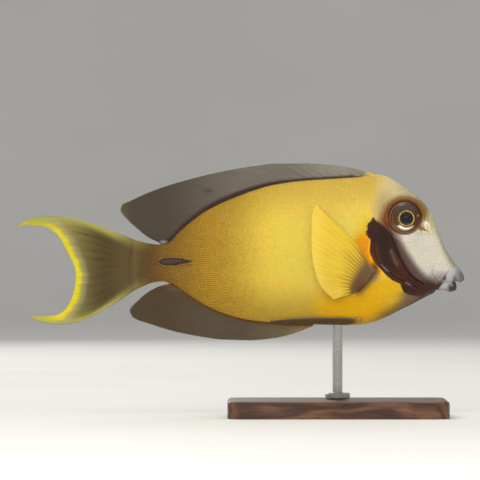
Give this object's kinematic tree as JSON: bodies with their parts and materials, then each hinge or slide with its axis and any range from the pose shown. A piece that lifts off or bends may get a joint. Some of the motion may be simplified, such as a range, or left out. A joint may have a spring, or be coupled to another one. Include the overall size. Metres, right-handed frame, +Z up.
{
  "type": "chocolate surgeonfish model",
  "caption": "Life-size chocolate surgeonfish in profile, yellow with a brown gill patch, held level by a rod on a flat base.",
  "frame": {"origin": "on the floor, under the middle of the fish's length", "axes": "+X towards the fish's mouth, +Y towards its left side, +Z up"},
  "size_m": [0.1797, 0.056, 0.1015],
  "materials": {
    "body_skin": "satin yellow skin, browner to the rear, with fine scales",
    "head_skin": "satin cream skin, olive along the brow, finely grained",
    "gill_patch": "satin dark chocolate skin",
    "lip_skin": "satin grey and white skin",
    "dark_fin": "satin grey-brown membrane over fine rays",
    "tail_fin": "satin brown-olive membrane with a yellow rear margin",
    "pectoral_fin": "satin yellow membrane over fine brown-edged rays",
    "eye": "glossy dark brown iris with a black pupil and gold rings",
    "spine": "dark horn",
    "base_wood": "satin dark walnut",
    "rod_steel": "brushed"
  },
  "bodies": {
    "root": {"head": "head_skin", "gill_cover_left": "gill_patch", "gill_cover_right": "gill_patch", "upper_lip": "lip_skin", "lower_lip": "lip_skin", "torso": "body_skin", "caudal_peduncle": "body_skin", "caudal_fin_upper": "tail_fin", "caudal_fin_middle": "tail_fin", "caudal_fin_lower": "tail_fin", "dorsal_fin": "dark_fin", "anal_fin": "dark_fin", "pectoral_fin_left": "pectoral_fin", "pectoral_fin_right": "pectoral_fin", "pelvic_fin_left": "dark_fin", "pelvic_fin_right": "dark_fin", "eye_left": "eye", "eye_right": "eye", "caudal_spine_left": "spine", "caudal_spine_right": "spine", "stand_base": "base_wood", "stand_rod": "rod_steel"}
  },
  "joints": []
}
